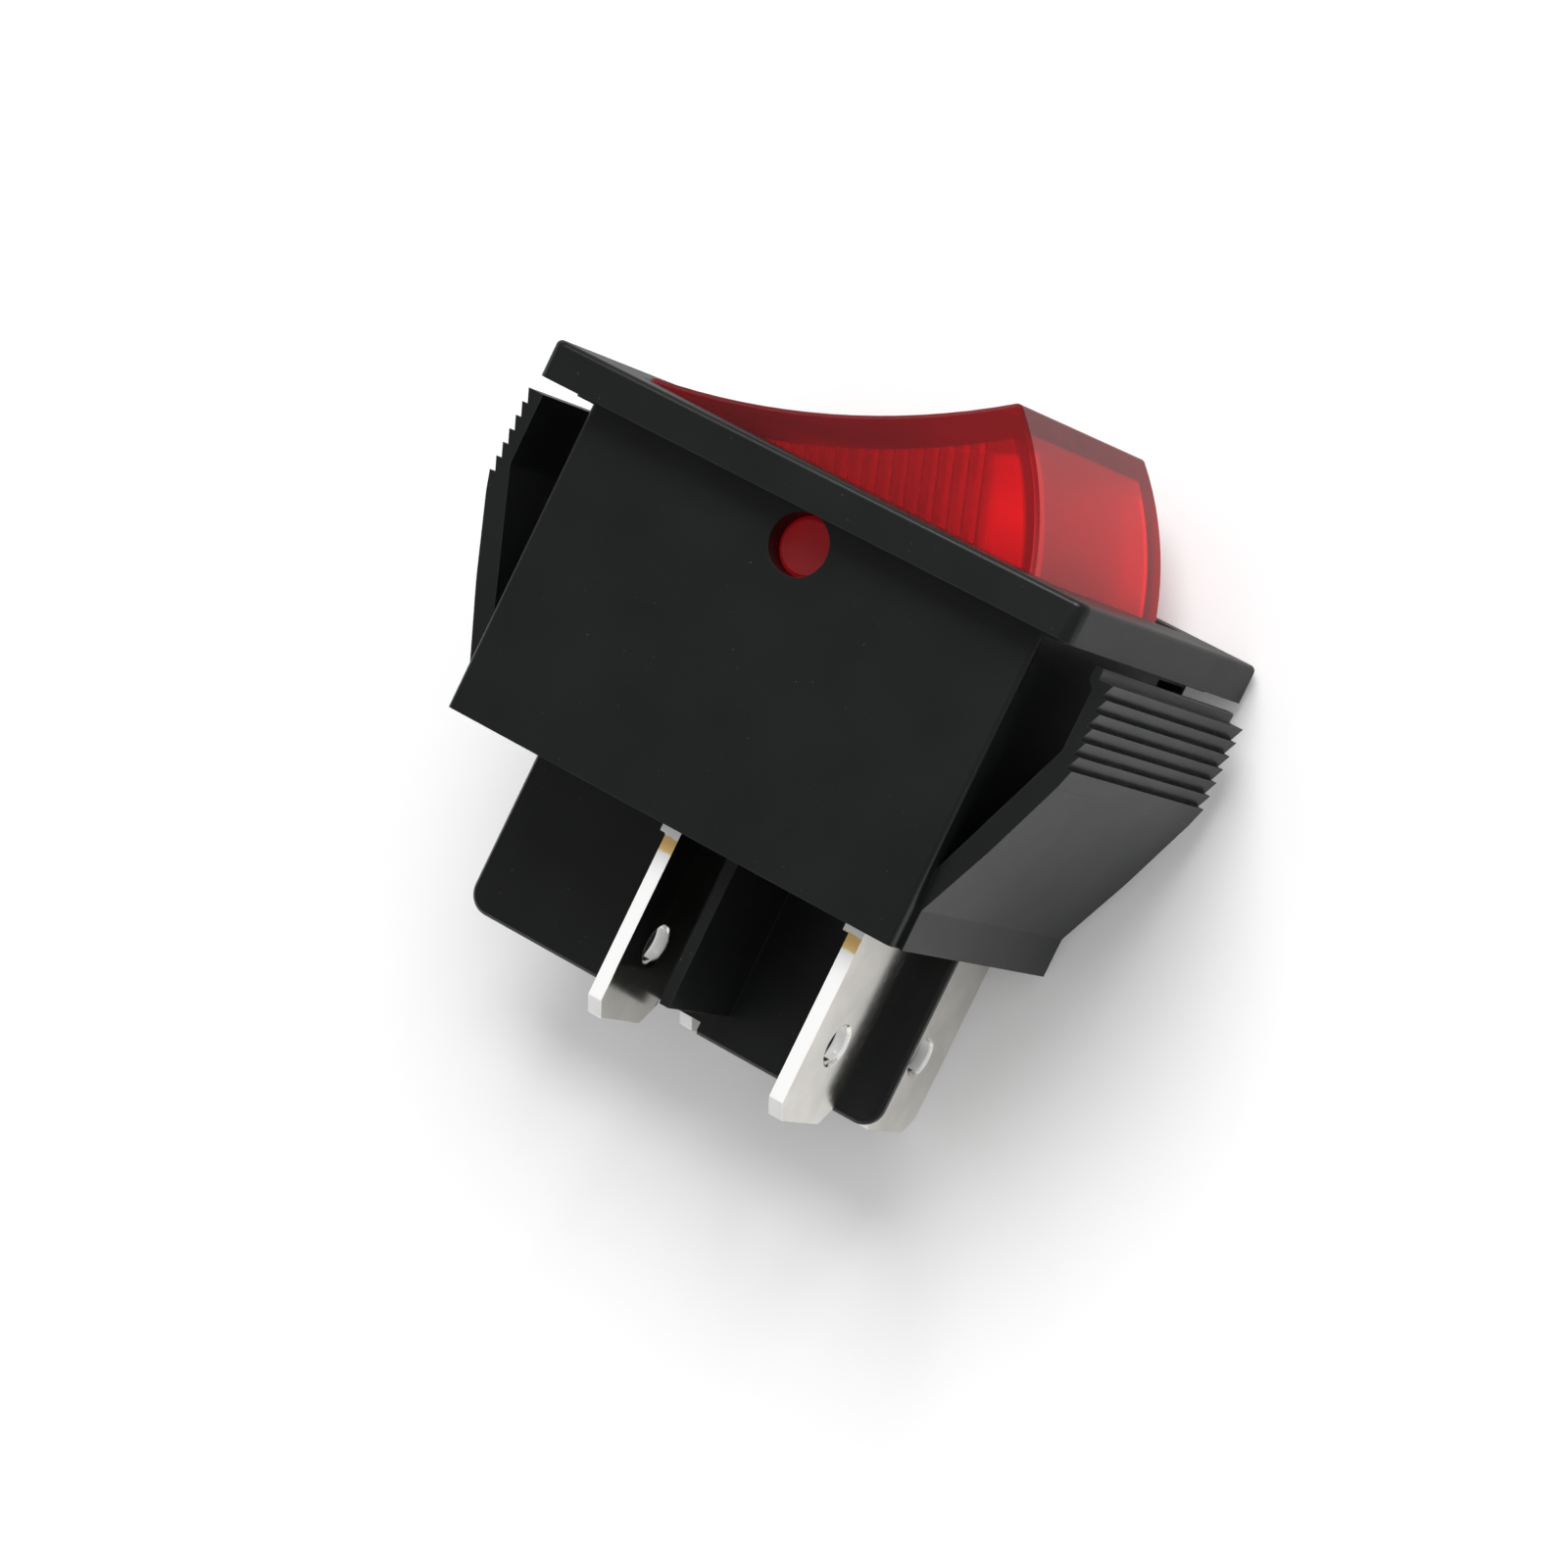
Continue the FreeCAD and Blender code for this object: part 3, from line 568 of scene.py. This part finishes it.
class MetalSettings(bpy.types.PropertyGroup):
    plate: FloatVectorProperty(name="Plate", description="Colour of the plated blades", subtype="COLOR",
                               default=(0.95, 0.92, 0.86), min=0, max=1)
    brass: FloatVectorProperty(name="Brass", description="Colour of bare brass", subtype="COLOR",
                               default=(0.72, 0.52, 0.26), min=0, max=1)
    gloss: FloatProperty(name="Roughness", description="Roughness of the plated blades", default=0.1,
                         min=0, max=1)
    edge: FloatProperty(name="Edge rounding", description="Width of the rounding on stamped edges",
                        default=0.00007, unit="LENGTH", precision=6)


class SpringSettings(bpy.types.PropertyGroup):
    coil: FloatProperty(name="Coil radius", description="Radius of the coil's middle line",
                        default=0.000955, unit="LENGTH", precision=6)
    wire: FloatProperty(name="Wire", description="Diameter of the wire", default=0.00035, unit="LENGTH",
                        precision=6)
    turns: FloatProperty(name="Turns", description="Turns of the coil", default=6.0, min=1)
    steps: IntProperty(name="Steps", description="Segments in each turn", default=24, min=8)
    play: FloatProperty(name="Play", description="Gap left at each end of a spring", default=0.00002,
                        unit="LENGTH", precision=6)
    travel: FloatProperty(name="Travel",
                          description="How far a plunger at its limit shortens its spring",
                          default=0.00101, unit="LENGTH", precision=6)


class StageSettings(bpy.types.PropertyGroup):
    focal: FloatProperty(name="Focal length", description="Focal length in millimetres", default=126.107,
                         min=1)
    distance: FloatProperty(name="Distance", description="From the camera to the switch",
                            default=0.27214, unit="LENGTH")
    azimuth: FloatProperty(name="Azimuth", description="Turn of the camera about the switch, in degrees",
                           default=23.181)
    elevation: FloatProperty(name="Elevation", description="Height of the camera, in degrees",
                             default=5.247)
    roll: FloatProperty(name="Roll", description="Roll of the camera, in degrees", default=25.896)
    paper: FloatProperty(name="Paper distance",
                         description="From the switch's middle to the paper behind its bezel",
                         default=0.01285, unit="LENGTH", precision=5)
    lean: FloatProperty(name="Paper lean",
                        description="Lean of the paper, which the bezel and the body rest on, in degrees",
                        default=6.7)
    key: FloatProperty(name="Key lamp", description="Power of the key lamp and of the back lamp",
                       default=1.4, unit="POWER")
    fill: FloatProperty(name="Fill lamp", description="Power of the fill lamp", default=0.5,
                        unit="POWER")
    sky: FloatProperty(name="Room light", description="Strength of the room's even light", default=0.66,
                       min=0)


# Operators


class SWITCH_OT_housing(bpy.types.Operator):
    """Finish the housing moulding with its bezel and barbed snap arms"""

    bl_idname = "switch.housing"
    bl_label = "Housing"

    def execute(self, context):
        edge = context.scene.switch_plastic.edge
        rounded_copy("housing", "housing_moulding", edge, black_plastic(), "case")
        return {"FINISHED"}


class SWITCH_OT_base(bpy.types.Operator):
    """Finish the base moulding with its barrier and cross walls"""

    bl_idname = "switch.base"
    bl_label = "Base"

    def execute(self, context):
        edge = context.scene.switch_plastic.edge
        rounded_copy("base", "base_moulding", edge, black_plastic(), "case")
        return {"FINISHED"}


class SWITCH_OT_rocker(bpy.types.Operator):
    """Finish the clear red rocker"""

    bl_idname = "switch.rocker"
    bl_label = "Rocker"

    def execute(self, context):
        dress("rocker", red_plastic())
        return {"FINISHED"}


class SWITCH_OT_terminals(bpy.types.Operator):
    """Finish the four flat blade terminals"""

    bl_idname = "switch.terminals"
    bl_label = "Terminals"

    def execute(self, context):
        edge = context.scene.switch_metal.edge
        for pole in POLES:
            for kind in ("common", "load"):
                node = f"{kind}_terminal_{pole}"
                rounded_copy(node, f"{kind}_blade_{pole}", edge, plated_metal(), "case")
        return {"FINISHED"}


class SWITCH_OT_contacts(bpy.types.Operator):
    """Finish the contact arms and their rivet contacts"""

    bl_idname = "switch.contacts"
    bl_label = "Contacts"

    def execute(self, context):
        for pole in POLES:
            dress(f"contact_arm_{pole}", brass())
            dress(f"arm_contact_{pole}", silver())
            dress(f"fixed_contact_{pole}", silver())
            dress(f"plunger_{pole}", brass())
        return {"FINISHED"}


def spring_tree():
    """Round wire wound along a helix, stood on the given place and leaned about Y."""
    name = "Coil spring"
    if name in bpy.data.node_groups:
        return bpy.data.node_groups[name]
    group = bpy.data.node_groups.new(name, "GeometryNodeTree")
    sockets = (
        ("Geometry", "NodeSocketGeometry"), ("Coil Radius", "NodeSocketFloat"),
        ("Wire Radius", "NodeSocketFloat"), ("Turns", "NodeSocketFloat"), ("Steps", "NodeSocketInt"),
        ("Height", "NodeSocketFloat"), ("Foot", "NodeSocketVector"), ("Lean", "NodeSocketVector"),
        ("Material", "NodeSocketMaterial"),
    )
    for label, kind in sockets:
        group.interface.new_socket(label, in_out="INPUT", socket_type=kind)
    group.interface.new_socket("Geometry", in_out="OUTPUT", socket_type="NodeSocketGeometry")
    tree = Tree(group)
    given = tree.add("NodeGroupInput").outputs
    helix = tree.add("GeometryNodeCurveSpiral", {
        "Resolution": given["Steps"], "Rotations": given["Turns"], "Start Radius": given["Coil Radius"],
        "End Radius": given["Coil Radius"], "Height": given["Height"],
    })
    ring = tree.add("GeometryNodeCurvePrimitiveCircle", {"Resolution": 10, "Radius": given["Wire Radius"]})
    inputs = {"Curve": helix.outputs[0], "Profile Curve": ring.outputs[0], "Fill Caps": True}
    wire = tree.add("GeometryNodeCurveToMesh", inputs)
    soft = tree.add("GeometryNodeSetShadeSmooth", {"Geometry": wire.outputs[0]})
    stood = tree.add("GeometryNodeTransform", {"Geometry": soft.outputs[0], "Translation": given["Foot"],
                                               "Rotation": given["Lean"]})
    real = tree.add("GeometryNodeRealizeInstances", {"Geometry": stood.outputs[0]})
    done = tree.add("GeometryNodeSetMaterial", {"Geometry": real.outputs[0], "Material": given["Material"]})
    tree.add("NodeGroupOutput", {"Geometry": done.outputs[0]})
    return group


class SWITCH_OT_springs(bpy.types.Operator):
    """Wind the two plunger springs inside the rocker's guides, each one as long as the drawn spring it
    replaces
    """

    bl_idname = "switch.springs"
    bl_label = "Plunger springs"

    def execute(self, context):
        settings = context.scene.switch_springs
        rocker = context.scene.switch_rocker
        lean = -math.radians(rocker.tilt)
        along = Matrix.Rotation(lean, 3, "Y") @ Vector((0.0, 0.0, 1.0))
        for pole in POLES:
            node = f"plunger_spring_{pole}"
            low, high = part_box(node)
            pivot = Vector((0.0, (low[1] + high[1]) / 2, -rocker.pivot_depth))
            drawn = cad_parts[node]
            reach = [(drawn.matrix_world @ corner.co - pivot).dot(along) for corner in drawn.data.vertices]
            start = min(reach) + settings.play
            end = max(reach) - settings.play
            height = end - start - settings.wire
            foot = pivot + along * (start + settings.wire / 2)
            piece = add_object(f"coil_spring_{pole}", bpy.data.meshes.new(f"coil_spring_{pole}"))
            modifier = piece.modifiers.new("Coil", "NODES")
            modifier.node_group = spring_tree()
            values = {
                "Coil Radius": settings.coil, "Wire Radius": settings.wire / 2, "Turns": settings.turns,
                "Steps": settings.steps, "Height": height, "Foot": foot,
                "Lean": Vector((0.0, lean, 0.0)), "Material": steel(),
            }
            for item in modifier.node_group.interface.items_tree:
                if item.in_out == "INPUT" and item.name in values:
                    modifier[item.identifier] = values[item.name]
            bake_modifiers(piece)
            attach(piece, "rocker")
            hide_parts(node)
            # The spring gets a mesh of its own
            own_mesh(piece)
        return {"FINISHED"}


class SWITCH_OT_lamp(bpy.types.Operator):
    """Finish the lamp, its electrodes and leads and the ballast resistor"""

    bl_idname = "switch.lamp"
    bl_label = "Lamp and resistor"

    def execute(self, context):
        dress("neon_lamp", lamp_glass())
        for node in ("lamp_electrodes", "lamp_lead_front", "lamp_lead_rear"):
            dress(node, tinned_wire())
        dress("ballast_resistor", resistor_coat())
        return {"FINISHED"}


def camera_axes(settings):
    """Right, up and back directions of the camera, rolled as the photograph is."""
    turn, lift, roll = (math.radians(v) for v in (settings.azimuth, settings.elevation, settings.roll))
    back = Vector((math.sin(turn) * math.cos(lift), -math.cos(turn) * math.cos(lift), math.sin(lift)))
    level = Vector((math.cos(turn), math.sin(turn), 0.0))
    upright = back.cross(level)
    right = level * math.cos(roll) + upright * math.sin(roll)
    up = upright * math.cos(roll) - level * math.sin(roll)
    return right, up, back


def add_lamp(name, place, aim, size, power, mirrored):
    """A round lamp turned to the point; if it isn't mirrored, gloss doesn't pick it up."""
    data = bpy.data.lights.new(name, "AREA")
    data.shape = "DISK"
    data.size = size
    data.energy = power
    lamp = bpy.data.objects.new(name, data)
    lamp.location = place
    lamp.rotation_euler = (place - aim).to_track_quat("Z", "Y").to_euler()
    lamp.visible_glossy = mirrored
    bpy.context.scene.collection.objects.link(lamp)


def paper_material():
    """White paper that keeps the shadow, and that gloss sees with a painted shade higher up; its back face
    lets everything through.
    """
    material = bpy.data.materials.new("White paper")
    material.use_nodes = True
    tree = Tree(material.node_tree)
    fibre = tree.noise(tree.object_place(), 900.0, 3.0)
    white = tree.mix(fibre, (0.93, 0.93, 0.93, 1.0), (0.95, 0.95, 0.95, 1.0))
    rays = tree.add("ShaderNodeLightPath").outputs
    # Painted reflection shade: gloss sees all of the paper low down beside the blades and less of it higher
    # up, so its reflections in the switch are painted darker towards the top
    place = tree.split(tree.object_place())
    gloss_share = tree.span(place[2], -0.009, -0.001, 0.8, 0.5)
    gloss_share = tree.plus(gloss_share, tree.span(place[2], -0.017, -0.021, 0.0, 0.2))
    painted_reflection_shade = tree.times(rays["Is Glossy Ray"], tree.minus(1.0, gloss_share))
    shaded = tree.add("ShaderNodeBsdfDiffuse", {"Color": tree.mix(painted_reflection_shade, white, BLACK)})
    glow = tree.add("ShaderNodeEmission", {"Strength": tree.times(rays["Is Camera Ray"], PAPER_GLOW)})
    lit = tree.add("ShaderNodeAddShader", {0: shaded.outputs[0], 1: glow.outputs[0]})
    plain = tree.add("ShaderNodeEmission", {"Strength": 1.0})
    through = rays["Is Transmission Ray"]
    front = tree.add("ShaderNodeMixShader", {0: through, 1: lit.outputs[0], 2: plain.outputs[0]})
    away = tree.add("ShaderNodeNewGeometry").outputs["Backfacing"]
    clear = tree.add("ShaderNodeBsdfTransparent")
    both = tree.add("ShaderNodeMixShader", {0: away, 1: front.outputs[0], 2: clear.outputs[0]})
    tree.add("ShaderNodeOutputMaterial", {"Surface": both.outputs[0]})
    return material


class SWITCH_OT_stage(bpy.types.Operator):
    """Set up the paper behind the switch, the lamps, the room and the camera"""

    bl_idname = "switch.stage"
    bl_label = "Stage"

    def execute(self, context):
        scene = context.scene
        settings = scene.switch_stage
        right, up, back = camera_axes(settings)
        middle = Vector(SWITCH_MIDDLE)

        data = bpy.data.cameras.new("Camera")
        data.lens = settings.focal
        data.sensor_width = 36.0
        data.clip_start = 0.01
        camera = bpy.data.objects.new("Camera", data)
        place = middle + back * settings.distance - right * OFF_CENTRE[0] - up * OFF_CENTRE[1]
        turned = Matrix((right, up, back)).transposed().to_4x4()
        camera.matrix_world = Matrix.Translation(place) @ turned
        scene.collection.objects.link(camera)
        scene.camera = camera

        mesh = bpy.data.meshes.new("paper")
        slope = math.tan(math.radians(settings.lean))
        outline = ((-PAPER_REACH, -PAPER_REACH), (PAPER_REACH, -PAPER_REACH), (PAPER_REACH, PAPER_REACH),
                   (-PAPER_REACH, PAPER_REACH))
        corners = [(x, settings.paper + slope * z, z) for x, z in outline]
        mesh.from_pydata(corners, [], [(0, 1, 2, 3)])
        mesh.materials.append(paper_material())
        add_object("paper", mesh)

        # Name, direction, distance, size, power and whether gloss picks it up
        lamps = (
            ("Key lamp", back * 0.68 + up * 0.62 - right * 0.08, 0.45, 0.27, settings.key, True),
            ("Back lamp", Vector((-0.4, 0.8, 0.5)), 0.45, 0.3, settings.key, True),
            ("Fill lamp", Vector((0.9, -0.1, 0.3)), 0.5, 0.35, settings.fill, False),
        )
        for name, side, distance, size, power, mirrored in lamps:
            add_lamp(name, middle + side.normalized() * distance, middle, size, power, mirrored)

        world = bpy.data.worlds.new("Room")
        world.use_nodes = True
        tree = Tree(world.node_tree)
        rays = tree.add("ShaderNodeLightPath").outputs
        toward = tree.split(tree.add("ShaderNodeTexCoord").outputs["Generated"])
        # Gloss picks up a dim room in front of the switch and a bright one behind it
        room = tree.span(toward[1], -0.3, 0.5, 0.28, 1.0)
        seen = tree.math("MAXIMUM", rays["Is Camera Ray"], rays["Is Transmission Ray"])
        glossy = tree.times(rays["Is Glossy Ray"], tree.minus(1.0, seen))
        even = tree.minus(1.0, tree.math("MAXIMUM", seen, glossy))
        strength = tree.plus(seen, tree.times(glossy, room))
        strength = tree.plus(strength, tree.times(even, settings.sky))
        light = tree.add("ShaderNodeBackground", {"Strength": strength})
        tree.add("ShaderNodeOutputWorld", {"Surface": light.outputs[0]})
        scene.world = world
        scene.view_settings.view_transform = "Standard"
        return {"FINISHED"}


OPERATORS = (SWITCH_OT_stage, SWITCH_OT_housing, SWITCH_OT_base, SWITCH_OT_rocker, SWITCH_OT_terminals,
             SWITCH_OT_contacts, SWITCH_OT_springs, SWITCH_OT_lamp)
SETTINGS = (
    ("switch_plastic", PlasticSettings),
    ("switch_rocker", RockerSettings),
    ("switch_metal", MetalSettings),
    ("switch_springs", SpringSettings),
    ("switch_stage", StageSettings),
)


class SWITCH_PT_pieces(bpy.types.Panel):
    """Pieces of the rocker switch and their settings"""

    bl_idname = "SWITCH_PT_pieces"
    bl_label = "Rocker Switch"
    bl_space_type = "VIEW_3D"
    bl_region_type = "UI"
    bl_category = "Rocker Switch"

    def draw(self, context):
        for operator in OPERATORS:
            self.layout.operator(operator.bl_idname)
        for name, group in SETTINGS:
            box = self.layout.box()
            settings = getattr(context.scene, name)
            for label in group.__annotations__:
                box.prop(settings, label)


def register():
    for name, group in SETTINGS:
        bpy.utils.register_class(group)
        setattr(bpy.types.Scene, name, PointerProperty(type=group))
    for made in OPERATORS + (SWITCH_PT_pieces,):
        bpy.utils.register_class(made)


def unregister():
    for made in (SWITCH_PT_pieces,) + OPERATORS[::-1]:
        bpy.utils.unregister_class(made)
    for name, group in SETTINGS[::-1]:
        delattr(bpy.types.Scene, name)
        bpy.utils.unregister_class(group)


def main():
    register()
    for operator in OPERATORS:
        getattr(bpy.ops.switch, operator.bl_idname.split(".")[1])()


if __name__ == "__main__":
    main()
